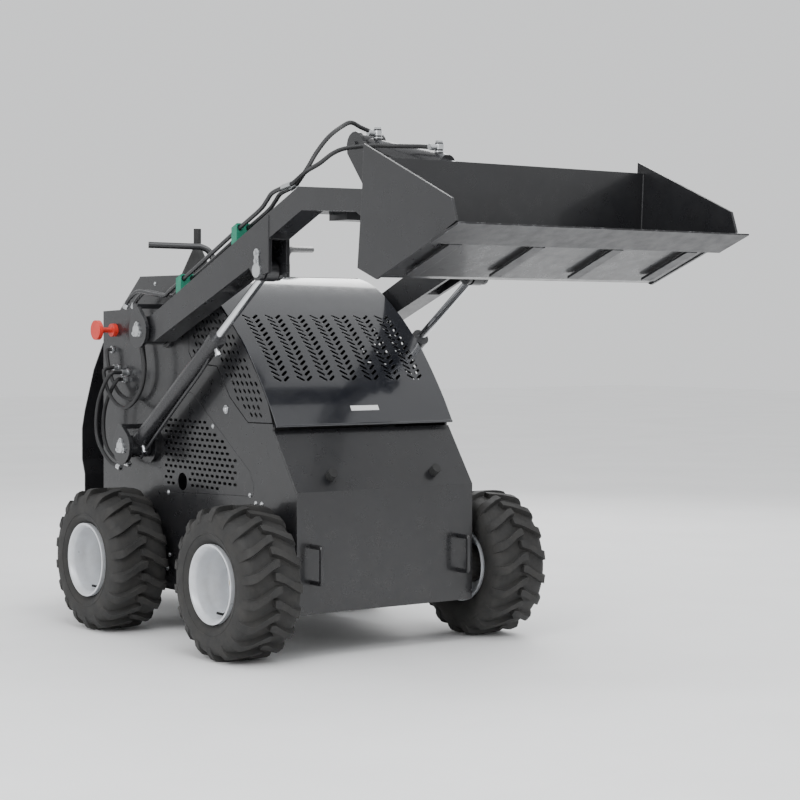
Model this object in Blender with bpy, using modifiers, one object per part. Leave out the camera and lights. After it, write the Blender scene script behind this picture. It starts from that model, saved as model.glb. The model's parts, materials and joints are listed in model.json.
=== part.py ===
"""Compact stand-on loader on four wheels: frame, hood, console, two loader arms, lift and tilt cylinders, coupler and bucket.

Metres, +Z up. The machine's front points along -Y and its right-hand side is at -X. Shapes are written in a frame whose
Y = 0 is the front axle and whose Z = 0 is the ground; SHIFT_Y moves them so that the finished box is centred on the origin.
"""
import math

import bmesh
import bpy

for obj in list(bpy.data.objects):
    bpy.data.objects.remove(obj, do_unlink=True)

# ---------------------------------------------------------------- driving dimensions
SHIFT_Y = -0.193          # front axle frame to the object's frame
GAP = 0.0003              # between pieces that touch
HALF = 0.329              # half width of the body
PLATE = 0.008             # frame side plates
SHEET = 0.003             # hood and cover sheet
FLOOR_Z = 0.132           # underside of the belly
FRONT_Y = -0.118          # face of the front panel
FRONT_BEND_Z = 0.494
FRONT_TOP = (0.006, 0.672)
TOWER_TOP = 1.145
WHEELBASE = 0.774
TYRE_R = 0.2285
TYRE_IN, TYRE_OUT = 0.3605, 0.5605
AXLE_Z = 0.2285
RIM_R = 0.1187

PIVOT = (0.632, 0.968)        # loader arm pivot (y, z)
LIFT_BASE = (0.740, 0.591)    # lift cylinder lower pin
LIFT_TOP = (-0.050, 1.146)    # lift cylinder upper pin, on the arm
ARM_X = 0.3875                # centre of each arm and lift cylinder
ARM_IN, ARM_OUT = 0.3505, 0.4245
EAR_IN, EAR_OUT = 0.4300, 0.4420   # outer plates of the pivot brackets
TILT_BASE = (-0.005, 1.535)   # tilt cylinder pin on the arm frame
TILT_TIP = (-0.600, 1.4141)    # tilt cylinder pin on the coupler
COUPLER = (-0.615, 1.250)     # coupler pivot on the arm tips
HOOD_HINGE = (0.4950, 1.1415)

# hood outline, outer face, from the front lip to the rear edge (y, z)
HOOD = [(-0.014, 0.683), (0.032, 0.757), (0.084, 0.829), (0.137, 0.895), (0.193, 0.953), (0.250, 1.005), (0.310, 1.052), (0.370, 1.093), (0.435, 1.125), (0.500, 1.143)]

scene = bpy.context.scene
hidden = bpy.data.collections.new("cutters")
hidden.hide_render = True
scene.collection.children.link(hidden)

COLOURS = {
    "paint": ((0.030, 0.030, 0.033, 1), 0.35, 0.0),
    "hood": ((0.035, 0.036, 0.042, 1), 0.2, 0.0),
    "tyre": ((0.022, 0.022, 0.022, 1), 0.85, 0.0),
    "rim": ((0.55, 0.57, 0.60, 1), 0.35, 0.3),
    "zinc": ((0.55, 0.56, 0.58, 1), 0.3, 1.0),
    "chrome": ((0.75, 0.75, 0.77, 1), 0.08, 1.0),
    "rubber": ((0.015, 0.015, 0.015, 1), 0.8, 0.0),
    "knob": ((0.62, 0.03, 0.02, 1), 0.4, 0.0),
    "iron": ((0.10, 0.10, 0.10, 1), 0.6, 0.4),
    "hose": ((0.012, 0.012, 0.013, 1), 0.6, 0.0),
    "steel": ((0.16, 0.16, 0.17, 1), 0.45, 0.6),
    "clamp": ((0.010, 0.180, 0.110, 1), 0.5, 0.0),
}


def material(name, slot):
    colour, rough, metal = COLOURS[slot]
    mat = bpy.data.materials.new(name)
    mat.use_nodes = True
    shader = mat.node_tree.nodes["Principled BSDF"]
    shader.inputs["Base Color"].default_value = colour
    shader.inputs["Roughness"].default_value = rough
    shader.inputs["Metallic"].default_value = metal
    return mat


def place(obj, origin, slot):
    obj.location = (origin[0], origin[1] + SHIFT_Y, origin[2])
    if slot is None:
        hidden.objects.link(obj)
        obj.hide_render = True
        obj.display_type = "WIRE"
    else:
        scene.collection.objects.link(obj)
        obj.data.materials.append(material(obj.name, slot))
    return obj


def from_bm(name, bm, origin, slot):
    bmesh.ops.recalc_face_normals(bm, faces=bm.faces[:])
    if bm.calc_volume(signed=True) < 0:
        bmesh.ops.reverse_faces(bm, faces=bm.faces[:])
    mesh = bpy.data.meshes.new(name)
    bm.to_mesh(mesh)
    bm.free()
    return place(bpy.data.objects.new(name, mesh), origin, slot)


def box(name, x, y, z, slot, origin=(0, 0, 0)):
    bm = bmesh.new()
    bmesh.ops.create_cube(bm, size=1)
    for v in bm.verts:
        v.co = ((x[0] + x[1]) / 2 + v.co.x * (x[1] - x[0]) - origin[0], (y[0] + y[1]) / 2 + v.co.y * (y[1] - y[0]) - origin[1], (z[0] + z[1]) / 2 + v.co.z * (z[1] - z[0]) - origin[2])
    return from_bm(name, bm, origin, slot)


def prism(name, outline, x, slot, origin=(0, 0, 0)):
    """A (y, z) outline pushed along X from x[0] to x[1]."""
    bm = bmesh.new()
    near = [bm.verts.new((x[0] - origin[0], y - origin[1], z - origin[2])) for y, z in outline]
    far = [bm.verts.new((x[1] - origin[0], y - origin[1], z - origin[2])) for y, z in outline]
    bm.faces.new(near)
    bm.faces.new(far[::-1])
    n = len(outline)
    for i in range(n):
        j = (i + 1) % n
        bm.faces.new((near[j], near[i], far[i], far[j]))
    return from_bm(name, bm, origin, slot)


def disc(name, x, centre, r, slot, origin=(0, 0, 0), n=24, r2=None, turn=0.5):
    """A cylinder (or cone) along X."""
    bm = bmesh.new()
    bmesh.ops.create_cone(bm, cap_ends=True, segments=n, radius1=r, radius2=r if r2 is None else r2, depth=x[1] - x[0])
    spin = math.pi * 2 * turn / n
    for v in bm.verts:
        a, b, c = v.co
        a, b = a * math.cos(spin) - b * math.sin(spin), a * math.sin(spin) + b * math.cos(spin)
        v.co = ((x[0] + x[1]) / 2 + c - origin[0], centre[0] + a - origin[1], centre[1] + b - origin[2])
    return from_bm(name, bm, origin, slot)


def rod_between(name, a, b, r, slot, origin=(0, 0, 0), n=20):
    """A cylinder from point a to point b."""
    import mathutils

    a, b = mathutils.Vector(a), mathutils.Vector(b)
    bm = bmesh.new()
    bmesh.ops.create_cone(bm, cap_ends=True, segments=n, radius1=r, radius2=r, depth=(b - a).length)
    turn = (b - a).to_track_quat("Z", "Y").to_matrix().to_4x4()
    bmesh.ops.transform(bm, matrix=mathutils.Matrix.Translation((a + b) / 2 - mathutils.Vector(origin)) @ turn, verts=bm.verts[:])
    return from_bm(name, bm, origin, slot)


def turned(name, profile, centre, slot, steps=36, side=1):
    """A closed (radius, across) outline turned about the X axis through centre; across grows outward from the machine."""
    area = sum(profile[i - 1][0] * profile[i][1] - profile[i][0] * profile[i - 1][1] for i in range(len(profile)))
    if area > 0:
        profile = profile[::-1]
    if side < 0:
        profile = [(r, -t) for r, t in profile][::-1]
    mesh = bpy.data.meshes.new(name)
    n = len(profile)
    mesh.from_pydata([(r, 0, t) for r, t in profile], [(i, (i + 1) % n) for i in range(n)], [])
    obj = place(bpy.data.objects.new(name, mesh), centre, slot)
    obj.rotation_euler = (0, math.pi / 2, 0)
    screw = obj.modifiers.new("turn", "SCREW")
    screw.axis = "Z"
    screw.angle = math.pi * 2
    screw.steps = screw.render_steps = steps
    screw.use_merge_vertices = True
    screw.merge_threshold = 0.00005
    return obj


def pipe(name, path, r, slot, origin=(0, 0, 0), res=2):
    """A round bar along a list of points."""
    curve = bpy.data.curves.new(name, "CURVE")
    curve.dimensions = "3D"
    curve.bevel_depth = r
    curve.bevel_resolution = res
    curve.use_fill_caps = True
    spline = curve.splines.new("POLY")
    spline.points.add(len(path) - 1)
    for point, (x, y, z) in zip(spline.points, path):
        point.co = (x - origin[0], y - origin[1], z - origin[2], 1)
    return place(bpy.data.objects.new(name, curve), origin, slot)


def solid_pipe(name, path, r, slot, origin=(0, 0, 0), res=2):
    """The same bar as a mesh, so that it can be joined or used as a cutter."""
    obj = pipe(name + "_curve", path, r, None, origin, res)
    bpy.context.view_layer.update()
    mesh = bpy.data.meshes.new_from_object(obj.evaluated_get(bpy.context.evaluated_depsgraph_get()))
    bpy.data.objects.remove(obj, do_unlink=True)
    bm = bmesh.new()
    bm.from_mesh(mesh)
    bmesh.ops.remove_doubles(bm, verts=bm.verts[:], dist=0.00001)
    return from_bm(name, bm, origin, slot)


def join(base, *others):
    for other in others:
        mod = base.modifiers.new("join", "BOOLEAN")
        mod.operation = "UNION"
        mod.solver = "EXACT"
        mod.object = other
    return base


def cut(base, *others):
    for other in others:
        mod = base.modifiers.new("cut", "BOOLEAN")
        mod.operation = "DIFFERENCE"
        mod.solver = "EXACT"
        mod.object = other
    return base


def offset(line, d):
    """An open (y, z) line moved sideways by d, to the right of its direction."""
    out = []
    for i, (y, z) in enumerate(line):
        a = line[max(i - 1, 0)]
        b = line[min(i + 1, len(line) - 1)]
        n = []
        for p, q in ((a, (y, z)), ((y, z), b)):
            dy, dz = q[0] - p[0], q[1] - p[1]
            length = math.hypot(dy, dz)
            if length > 1e-9:
                n.append((dz / length, -dy / length))
        ny, nz = sum(v[0] for v in n) / len(n), sum(v[1] for v in n) / len(n)
        size = ny * ny + nz * nz
        out.append((y + d * ny / size, z + d * nz / size))
    return out


def bent(line, thickness):
    """The closed outline of a sheet whose outer face follows line; the thickness lies to the right of its direction."""
    return line + offset(line, thickness)[::-1]


def grow(outline, d):
    """A closed (y, z) outline with every edge moved outward by d."""
    n = len(outline)
    area = sum(outline[i - 1][0] * outline[i][1] - outline[i][0] * outline[i - 1][1] for i in range(n))
    looped = offset([outline[-1]] + outline + [outline[0]], d if area > 0 else -d)
    return looped[1:-1]


def mirror_x(x, side):
    return (x[0], x[1]) if side > 0 else (-x[1], -x[0])


def arc(centre, r, start, end, n):
    return [(centre[0] + r * math.cos(math.radians(start + (end - start) * i / n)), centre[1] + r * math.sin(math.radians(start + (end - start) * i / n))) for i in range(n + 1)]


SIDES = (("R", -1), ("L", 1))

# ---------------------------------------------------------------- frame and covers
hood_under = offset(HOOD, 0.0085)
vent_front = [p for p in hood_under if p[0] > 0.03 and p[0] < 0.490]
VENT = [(0.016, 0.6945), (0.151, 0.692), (0.253, 0.765), (0.330, 0.860), (0.470, 0.868), (0.500, 0.900), (0.500, 1.132)] + vent_front[::-1]
DOOR = [(0.665, 0.446), (0.122, 0.468), (0.118, 0.503), (0.143, 0.544), (0.483, 0.771), (0.625, 0.771), (0.665, 0.735)]
FRAME = [
    (-0.1125, 0.1325), (-0.1125, 0.4910), (0.0130, 0.6710), (0.0130, 0.6915), (0.1518, 0.6890), (0.2552, 0.7628), (0.3313, 0.8570),
    (0.4712, 0.8650), (0.5030, 0.8988), (0.5030, TOWER_TOP), (0.815, TOWER_TOP), (0.952, 1.036), (1.069, 1.032), (1.069, 0.300), (0.985, 0.1325),
]
for tag, side in SIDES:
    plate = prism(f"frame_side_{tag}", FRAME, mirror_x((HALF - PLATE, HALF), side), "paint")
    window = prism(f"door_window_{tag}", grow(DOOR, 0.001), mirror_x((HALF - 0.02, HALF + 0.02), side), None)
    cut(plate, window)
    prism(f"vent_panel_{tag}", VENT, mirror_x((HALF - SHEET, HALF), side), "paint")
    prism(f"side_door_{tag}", DOOR, mirror_x((HALF - SHEET, HALF), side), "paint")

IN = HALF - PLATE - GAP
prism("front_panel", bent([(FRONT_Y, 0.132), (FRONT_Y, FRONT_BEND_Z), FRONT_TOP], 0.005), (-HALF, HALF), "paint")
prism("belly_pan", bent([(1.062, 0.905), (1.062, 0.303), (0.982, 0.1325), (-0.1122, 0.1325)], 0.006), (-IN, IN), "paint")
prism("console_top", bent([(0.510, TOWER_TOP), (0.815, TOWER_TOP), (0.952, 1.036), (1.069, 1.032), (1.069, 0.915)], SHEET), (-IN, IN), "paint")
prism("rear_guard", bent([(1.0725, 0.925), (1.140, 0.832), (1.206, 0.690), (1.226, 0.628), (1.226, 0.520), (1.207, 0.470), (1.207, 0.300)], 0.004), (-HALF, HALF), "paint")
hood_sheet = prism("hood", bent(HOOD, SHEET), (-0.331, 0.331), "hood", (0, HOOD_HINGE[0], HOOD_HINGE[1]))

# operator platform, on two arms from the frame's rear corners
deck = box("platform", (-0.27, 0.27), (1.085, 1.500), (0.218, 0.226), "paint")
join(deck, box("deck_lip", (-0.27, 0.27), (1.494, 1.500), (0.190, 0.2262), None), box("deck_arm_R", (-0.262, -0.250), (1.0695, 1.470), (0.180, 0.2185), None), box("deck_arm_L", (0.250, 0.262), (1.0695, 1.470), (0.180, 0.2185), None), box("deck_root", (-0.262, 0.262), (1.0695, 1.090), (0.180, 0.2600), None))

box("engine", (-0.20, 0.20), (0.115, 0.455), (0.26, 0.74), "iron")
box("hydraulic_tank", (-0.28, 0.28), (0.72, 0.98), (0.30, 0.78), "steel")

# ---------------------------------------------------------------- pivot brackets
for tag, side in SIDES:
    for name, centre, apex in (("arm_bracket", PIVOT, (0.648, 1.054)), ("lift_bracket", LIFT_BASE, (0.750, 0.665))):
        r = 0.056
        up = math.degrees(math.atan2(apex[1] - centre[1], apex[0] - centre[0]))
        span = math.degrees(math.acos(r / math.hypot(apex[0] - centre[0], apex[1] - centre[1])))
        outline = arc(centre, r, up + span, up + 360 - span, 14)
        outline += [(apex[0] + 0.006, apex[1]), (apex[0] - 0.006, apex[1])]
        ear = prism(f"{name}_{tag}", outline, mirror_x((EAR_IN, EAR_OUT), side), "paint")
        inner = prism(f"{name}_inner_{tag}", outline, mirror_x((HALF + GAP, 0.3450), side), None)
        top = box(f"{name}_top_{tag}", mirror_x((HALF + GAP, EAR_OUT - 0.001), side), (apex[0] - 0.0165, apex[0] + 0.0165), (apex[1] - 0.016, apex[1] - 0.0015), None)
        pin = disc(f"{name}_pin_{tag}", mirror_x((0.340, EAR_OUT + 0.006), side), centre, 0.0175, None, n=20)
        join(ear, inner, top, pin)

# ---------------------------------------------------------------- wheels
WHEELS = (("FR", -1, 0.0), ("FL", 1, 0.0), ("RR", -1, WHEELBASE), ("RL", 1, WHEELBASE))
W = (TYRE_OUT - TYRE_IN) / 2
TYRE = [(0.1195, -0.080), (0.135, -0.094), (0.170, -0.1000), (0.205, -0.096), (TYRE_R, -0.082), (TYRE_R, 0.082), (0.205, 0.096), (0.170, 0.1000), (0.135, 0.094), (0.1195, 0.080), (0.107, 0.074), (0.107, -0.074)]
RIM = [(0.1185, 0.0955), (0.1185, 0.0815), (0.1065, 0.0755), (0.1065, 0.030), (0.094, 0.010), (0.094, -0.030), (0.1065, -0.050), (0.1065, -0.0755), (0.1185, -0.0815), (0.1185, -0.0900), (0.1120, -0.0905), (0.1020, -0.0790), (0.1020, -0.052), (0.090, -0.034),
       (0.030, -0.034), (0.030, -0.026), (0.088, -0.026), (0.090, 0.012), (0.1020, 0.034), (0.1020, 0.0790), (0.1120, 0.0955)]
mid = (TYRE_IN + TYRE_OUT) / 2
for tag, side, y in WHEELS:
    centre = (side * mid, y, AXLE_Z)
    turned(f"tyre_{tag}", TYRE, centre, "tyre", 32, side)
    turned(f"rim_{tag}", RIM, centre, "rim", 32, side)
    hub = disc(f"hub_{tag}", mirror_x((HALF + GAP, mid - 0.040), side), (y, AXLE_Z), 0.062, "iron", n=24)
    join(hub, disc(f"hub_nose_{tag}", mirror_x((mid - 0.045, mid + 0.012), side), (y, AXLE_Z), 0.0255, None, n=20))

# ---------------------------------------------------------------- loader arms
ARM = (
    [(0.574, 1.016), (-0.2665, 1.3795), (-0.577, 1.3565), (-0.618, 1.338), (-0.643, 1.300)]
    + arc(COUPLER, 0.036, 180, 360, 8)
    + [(-0.570, 1.284), (-0.545, 1.2975), (-0.2815, 1.3115), (-0.110, 1.2375), (-0.110, 1.140)]
    + arc(LIFT_TOP, 0.030, 205, 300, 4)
    + [(-0.005, 1.1545), (0.558, 0.933)]
    + arc(PIVOT, 0.045, 225, 420, 9)
)
for tag, side in SIDES:
    origin = (side * ARM_X, PIVOT[0], PIVOT[1])
    arm = prism(f"arm_{tag}", ARM, mirror_x((ARM_IN, ARM_OUT), side), "paint", origin)
    fork = prism(f"arm_fork_{tag}", [(-0.13, 1.05), (0.165, 1.05), (0.165, 1.103), (0.085, 1.160), (0.010, 1.235), (-0.13, 1.235)], mirror_x((0.3625, 0.4125), side), None)
    bore = disc(f"arm_bore_{tag}", mirror_x((ARM_IN - 0.01, ARM_OUT + 0.01), side), PIVOT, 0.0190, None, n=20)
    tip = disc(f"arm_tip_{tag}", mirror_x((ARM_IN - 0.01, ARM_OUT + 0.01), side), COUPLER, 0.0165, None, n=20)
    cut(arm, fork, bore, tip)
    for end, x in (("out", (ARM_OUT - 0.006, ARM_OUT + 0.004)), ("in", (ARM_IN - 0.003, ARM_IN + 0.006))):
        join(arm, disc(f"rod_pin_{end}_{tag}", mirror_x(x, side), LIFT_TOP, 0.0180, None, n=16))

# ---------------------------------------------------------------- crossmember with the tilt bracket
X_IN = ARM_IN - GAP
beam = prism("crossmember", [(-0.140, 1.312), (-0.140, 1.362), (-0.262, 1.370), (-0.262, 1.318)], (-X_IN, X_IN), "paint", (0, PIVOT[0], PIVOT[1]))
stop = prism("stop_plate", [(-0.145, 1.293), (-0.145, 1.330), (-0.235, 1.330), (-0.235, 1.293)], (-0.235, 0.235), None)
ears = []
for tag, side in SIDES:
    outline = [(-0.250, 1.345), (-0.145, 1.345), (-0.100, 1.352), (0.034, 1.512)] + arc(TILT_BASE, 0.042, -15, 165, 8)[1:]
    ears.append(prism(f"tilt_ear_{tag}", outline, mirror_x((0.0335, 0.0455), side), None))
tilt_pin = disc("tilt_pin", (-0.052, 0.052), TILT_BASE, 0.0125, None, n=16)
join(beam, stop, *ears, tilt_pin)

# ---------------------------------------------------------------- lift cylinders
lift_len = math.hypot(LIFT_TOP[0] - LIFT_BASE[0], LIFT_TOP[1] - LIFT_BASE[1])
uy, uz = (LIFT_TOP[0] - LIFT_BASE[0]) / lift_len, (LIFT_TOP[1] - LIFT_BASE[1]) / lift_len


def along(base, u, d, x):
    return (x, base[0] + u[0] * d, base[1] + u[1] * d)


BARREL = 0.620
for tag, side in SIDES:
    x = side * ARM_X
    origin = (x, LIFT_BASE[0], LIFT_BASE[1])
    u = (uy, uz)
    barrel = rod_between(f"lift_barrel_{tag}", along(LIFT_BASE, u, 0.030, x), along(LIFT_BASE, u, BARREL, x), 0.026, "paint", origin, 24)
    collar = rod_between(f"lift_collar_{tag}", along(LIFT_BASE, u, BARREL - 0.030, x), along(LIFT_BASE, u, BARREL + 0.004, x), 0.0285, None, (0, 0, 0), 24)
    eye = disc(f"lift_eye_{tag}", mirror_x((0.3520, 0.4230), side), LIFT_BASE, 0.036, None)
    join(barrel, collar, eye)
    bore = rod_between(f"lift_bore_{tag}", along(LIFT_BASE, u, 0.080, x), along(LIFT_BASE, u, BARREL + 0.05, x), 0.0140, None, (0, 0, 0), 20)
    pin_hole = disc(f"lift_hole_{tag}", mirror_x((0.34, 0.44), side), LIFT_BASE, 0.0187, None, n=20)
    cut(barrel, bore, pin_hole)
    rod_origin = (x, LIFT_TOP[0], LIFT_TOP[1])
    rod = rod_between(f"lift_rod_{tag}", along(LIFT_BASE, u, 0.40, x), along(LIFT_BASE, u, lift_len - 0.020, x), 0.0130, "chrome", rod_origin, 20)
    rod_eye = disc(f"lift_rod_eye_{tag}", mirror_x((0.3675, 0.4075), side), LIFT_TOP, 0.032, None, n=24)
    join(rod, rod_eye)

# ---------------------------------------------------------------- tilt cylinder
tilt_len = math.hypot(TILT_TIP[0] - TILT_BASE[0], TILT_TIP[1] - TILT_BASE[1])
tu = ((TILT_TIP[0] - TILT_BASE[0]) / tilt_len, (TILT_TIP[1] - TILT_BASE[1]) / tilt_len)
TBARREL = 0.410
origin = (0, TILT_BASE[0], TILT_BASE[1])
barrel = rod_between("tilt_barrel", along(TILT_BASE, tu, 0.030, 0), along(TILT_BASE, tu, TBARREL, 0), 0.029, "paint", origin, 24)
ports = [rod_between(f"tilt_port_{i}", (0, TILT_BASE[0] + tu[0] * d, TILT_BASE[1] + tu[1] * d), (0, TILT_BASE[0] + tu[0] * d, TILT_BASE[1] + tu[1] * d + 0.058), 0.012, None, (0, 0, 0), 12) for i, d in enumerate((0.058, 0.370))]
join(barrel, disc("tilt_eye", (-0.0275, 0.0275), TILT_BASE, 0.034, None), *ports)
cut(barrel, rod_between("tilt_bore", along(TILT_BASE, tu, 0.080, 0), along(TILT_BASE, tu, TBARREL + 0.05, 0), 0.0160, None, (0, 0, 0), 20), disc("tilt_hole", (-0.05, 0.05), TILT_BASE, 0.0137, None, n=16))
origin = (0, TILT_TIP[0], TILT_TIP[1])
rod = rod_between("tilt_rod", along(TILT_BASE, tu, 0.215, 0), along(TILT_BASE, tu, tilt_len - 0.015, 0), 0.0150, "chrome", origin, 20)
join(rod, disc("tilt_rod_eye", (-0.0225, 0.0225), TILT_TIP, 0.028, None))

# ---------------------------------------------------------------- coupler and bucket
origin = (0, COUPLER[0], COUPLER[1])
coupler = prism("coupler", [(-0.6580, 1.135), (-0.6500, 1.135), (-0.6780, 1.425), (-0.6860, 1.425)], (-0.340, 0.340), "paint", origin)
parts = []
for tag, side in SIDES:
    outline = arc(COUPLER, 0.032, -80, 90, 6) + [(-0.6710, 1.330), (-0.6570, 1.180)]
    parts.append(prism(f"coupler_ear_{tag}", outline, mirror_x((0.333, 0.3449), side), None))
    outline = arc(TILT_TIP, 0.030, -60, 110, 6) + [(-0.6820, 1.424), (-0.6700, 1.310)]
    parts.append(prism(f"tilt_lug_{tag}", outline, mirror_x((0.0280, 0.0400), side), None))
    parts.append(disc(f"coupler_pin_{tag}", mirror_x((0.336, 0.4285), side), COUPLER, 0.0150, None, n=20))
    parts.append(disc(f"tip_pin_{tag}", mirror_x((0.0290, 0.0445), side), TILT_TIP, 0.0150, None, n=16))
join(coupler, *parts)
cut(coupler, box("coupler_notch", (-0.0275, 0.0275), (-0.72, -0.60), (1.330, 1.50), None))

# bucket: floor, curved heel and back as one sheet, with two side plates
SHELL = [(-1.045, 1.231), (-0.765, 1.118), (-0.738, 1.113), (-0.712, 1.122), (-0.696, 1.145), (-0.694, 1.175), (-0.7055, 1.4335)]
bucket = prism("bucket", bent(SHELL[::-1], 0.007), (-0.4905, 0.4905), "paint", origin)
for_sides = []
SIDE = [(-0.686, 1.467), (-1.065, 1.306), (-1.085, 1.248), (-0.998, 1.208), (-0.745, 1.108), (-0.660, 1.139), (-0.664, 1.180), (-0.681, 1.352)]
for tag, side in SIDES:
    for_sides.append(prism(f"bucket_side_{tag}", SIDE, mirror_x((0.490, 0.498), side), None))
join(bucket, *for_sides)
prism("cutting_edge", [(-1.1140, 1.2440), (-1.1140, 1.2400), (-1.000, 1.1940), (-0.996, 1.2045)], (-0.512, 0.512), "steel", origin)

# ---------------------------------------------------------------- fittings on the body
for tag, side in SIDES:
    x = side * 0.275
    handle = solid_pipe(f"front_handle_{tag}", [(x, FRONT_Y - GAP, 0.333), (x, FRONT_Y - 0.042, 0.333), (x, FRONT_Y - 0.050, 0.325), (x, FRONT_Y - 0.050, 0.234), (x, FRONT_Y - 0.042, 0.226), (x, FRONT_Y - GAP, 0.226)], 0.007, "paint")
    bumper_at = (side * 0.194, -0.088, 0.534)
    n = (-0.826, 0.566)
    foot = (FRONT_Y + (0.534 - FRONT_BEND_Z) * 0.685, 0.534)
    rod_between(f"bumper_{tag}", (side * 0.194, foot[0] + n[0] * 0.0006, foot[1] + n[1] * 0.0006), (side * 0.194, foot[0] + n[0] * 0.025, foot[1] + n[1] * 0.025), 0.0155, "rubber", (0, 0, 0), 16)
    pipe(f"grab_bar_{tag}", [(side * 0.322, 0.772, 1.248), (side * 0.178, 0.684, 1.243), (side * 0.158, 0.671, 1.233), (side * 0.147, 0.663, 1.215), (side * 0.143, 0.655, 1.190), (side * 0.143, 0.655, TOWER_TOP + GAP)], 0.0105, "paint")
    stick = rod_between(f"joystick_{tag}", (side * 0.149, 0.751, TOWER_TOP + GAP), (side * 0.149, 0.751, 1.150), 0.060, "rubber", (0, 0, 0), 16)
    bm = bmesh.new()
    bmesh.ops.create_cone(bm, cap_ends=True, segments=16, radius1=0.055, radius2=0.016, depth=0.088)
    bmesh.ops.translate(bm, verts=bm.verts[:], vec=(side * 0.149, 0.751, 1.149 + 0.044))
    boot = from_bm(f"boot_{tag}", bm, (0, 0, 0), None)
    shaft = rod_between(f"stick_{tag}", (side * 0.149, 0.751, 1.22), (side * 0.149, 0.751, 1.262), 0.007, None, (0, 0, 0), 12)
    grip = rod_between(f"grip_{tag}", (side * 0.149, 0.751, 1.2555), (side * 0.149, 0.751, 1.305), 0.0125, None, (0, 0, 0), 16)
    join(stick, boot, shaft, grip)

knob = disc("battery_switch", (-0.345, -HALF - GAP), (0.985, 0.968), 0.022, "knob", n=20)
join(knob, disc("switch_stem", (-0.395, -0.340), (0.985, 0.968), 0.009, None, n=12), disc("switch_disc", (-0.405, -0.391), (0.985, 0.968), 0.033, None, n=24))

# ---------------------------------------------------------------- hydraulic pipes and hoses, on the right-hand side
def smooth(points, n=3):
    """A smooth curve through the points, n steps to a span."""
    out = []
    for i in range(len(points) - 1):
        p = [points[max(i - 1, 0)], points[i], points[i + 1], points[min(i + 2, len(points) - 1)]]
        for k in range(n):
            t = k / n
            out.append(tuple(0.5 * (2 * p[1][a] + (p[2][a] - p[0][a]) * t + (2 * p[0][a] - 5 * p[1][a] + 4 * p[2][a] - p[3][a]) * t * t + (3 * p[1][a] - p[0][a] - 3 * p[2][a] + p[3][a]) * t ** 3) for a in range(3)))
    out.append(points[-1])
    return out


LINE_R = 0.0068
# (y, z) of both steel pipes above the right arm, from behind the pivot to the elbow
ARM_PIPE = [(0.774, 1.055), (0.752, 1.073), (0.699, 1.093), (0.615, 1.086), (0.530, 1.079), (0.489, 1.096), (0.336, 1.162), (0.100, 1.268), (-0.027, 1.323), (-0.066, 1.349), (-0.095, 1.370), (-0.151, 1.383)]
# name, x of the pipe, then the hose from the elbow to the cylinder port (x, y, z)
TILT_LINES = (
    ("tilt_line_rear", -0.372, [(-0.374, -0.182, 1.393), (-0.362, -0.219, 1.437), (-0.320, -0.205, 1.486), (-0.250, -0.166, 1.538), (-0.150, -0.092, 1.580), (-0.095, -0.058, 1.596), (-0.060, -0.058, 1.584), (-0.0185, -0.062, 1.5705)]),
    ("tilt_line_front", -0.402, [(-0.404, -0.200, 1.390), (-0.390, -0.255, 1.424), (-0.335, -0.240, 1.450), (-0.260, -0.200, 1.486), (-0.200, -0.180, 1.505), (-0.120, -0.185, 1.517), (-0.070, -0.214, 1.517), (-0.042, -0.264, 1.514), (-0.030, -0.320, 1.510), (-0.0185, -0.368, 1.505)]),
)
for name, x, rest in TILT_LINES:
    pipe(name, smooth([(x, y, z) for y, z in ARM_PIPE] + rest), LINE_R, "hose")
for name, y in (("pipe_clamp_rear", 0.422), ("pipe_clamp_front", 0.095)):
    low = [(yy, 1.016 + (0.574 - yy) * 0.43248 + 0.0005) for yy in (y + 0.015, y - 0.015)]
    middle = 1.096 + (0.489 - y) * (0.066 / 0.153) if y > 0.336 else 1.162 + (0.336 - y) * (0.106 / 0.236)
    high = [(yy, middle + (y - yy) * 0.435 + 0.013) for yy in (y - 0.015, y + 0.015)]
    clamp = prism(name, low + high, (-0.414, -0.360), "clamp")
    cut(clamp, *[solid_pipe(f"{name}_{i}", [(x, yy, middle + (y - yy) * 0.44) for yy in (y + 0.06, y - 0.06)], LINE_R + 0.0022, None, res=3) for i, (_, x, _) in enumerate(TILT_LINES)])

# hoses between the tower, the arm pipes and the lift cylinder: name, x, (y, z) points
HOSES = (
    ("supply_hose_inner", -0.355, [(0.996, 0.895), (0.982, 0.841), (0.954, 0.795), (0.906, 0.756), (0.831, 0.738), (0.784, 0.759), (0.751, 0.806), (0.750, 0.865), (0.764, 0.917), (0.777, 0.986), (0.783, 1.051)]),
    ("supply_hose_outer", -0.387, [(0.955, 0.835), (0.951, 0.806), (0.931, 0.769), (0.883, 0.730), (0.815, 0.713), (0.755, 0.734), (0.702, 0.782), (0.682, 0.847), (0.695, 0.918), (0.712, 0.986), (0.728, 1.050)]),
    ("lift_hose_upper", -0.371, [(0.905, 0.797), (0.966, 0.733), (0.990, 0.673), (0.985, 0.606), (0.950, 0.561), (0.888, 0.536), (0.812, 0.528)]),
    ("lift_hose_lower", -0.402, [(0.890, 0.820), (0.955, 0.752), (0.981, 0.684), (0.979, 0.617), (0.944, 0.569), (0.886, 0.532), (0.815, 0.517)]),
)
for name, x, line in HOSES:
    start = [(-HALF - 0.0014, line[0][0], line[0][1] + 0.008), ((x - HALF) / 2, line[0][0], line[0][1] + 0.008)]
    pipe(name, smooth(start + [(x, y, z) for y, z in line]), LINE_R, "hose")
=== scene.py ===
import json
import math

import bmesh
import bpy
import numpy as np
from mathutils import Matrix, Vector


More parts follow.
